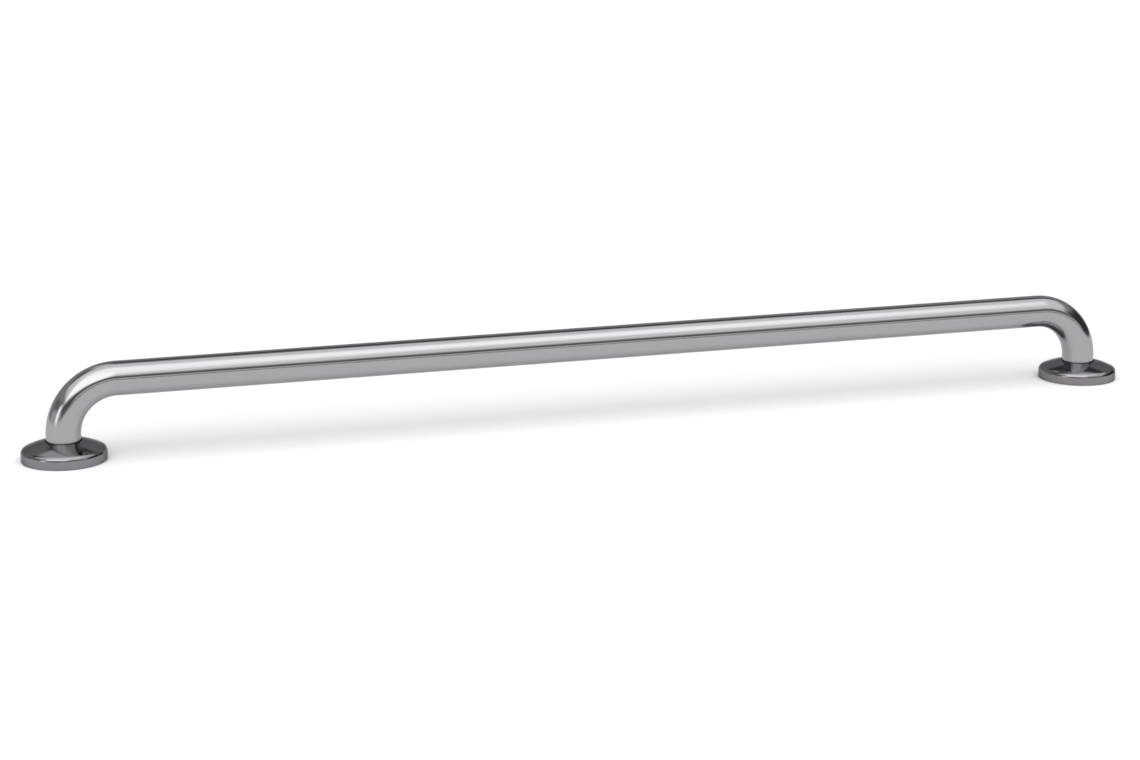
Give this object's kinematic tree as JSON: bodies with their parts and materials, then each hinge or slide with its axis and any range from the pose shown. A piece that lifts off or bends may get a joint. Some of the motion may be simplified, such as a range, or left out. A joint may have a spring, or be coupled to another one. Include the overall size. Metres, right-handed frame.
{
  "type": "grab rail",
  "caption": "Straight stainless grab rail: one bent tube on round mounting plates with concealed screw holes, hidden by push-on covers that slide up the legs.",
  "frame": {"origin": "on the mounting surface, halfway between the two legs", "axes": "+X along the hand grip, +Z away from the wall or deck that the rail is fixed to"},
  "size_m": [1.1024, 0.0776, 0.0879],
  "materials": {
    "satin_tube": "satin, finely belted around the tube",
    "plate_steel": "mill finish",
    "weld_metal": "rippled weld bead",
    "polished_cover": "polished crown, finely turned rim"
  },
  "bodies": {
    "rail": {"rail_tube": "satin_tube", "left_mounting_plate": "plate_steel", "right_mounting_plate": "plate_steel", "left_weld_bead": "weld_metal", "right_weld_bead": "weld_metal"},
    "left_cover": {"left_cover": "polished_cover"},
    "right_cover": {"right_cover": "polished_cover"}
  },
  "joints": [
    {"name": "left_cover_slide", "type": "slide", "parent": "rail", "child": "left_cover", "axis": [0, 0, 1], "range_m": [0, 0.008]},
    {"name": "right_cover_slide", "type": "slide", "parent": "rail", "child": "right_cover", "axis": [0, 0, 1], "range_m": [0, 0.008]}
  ]
}
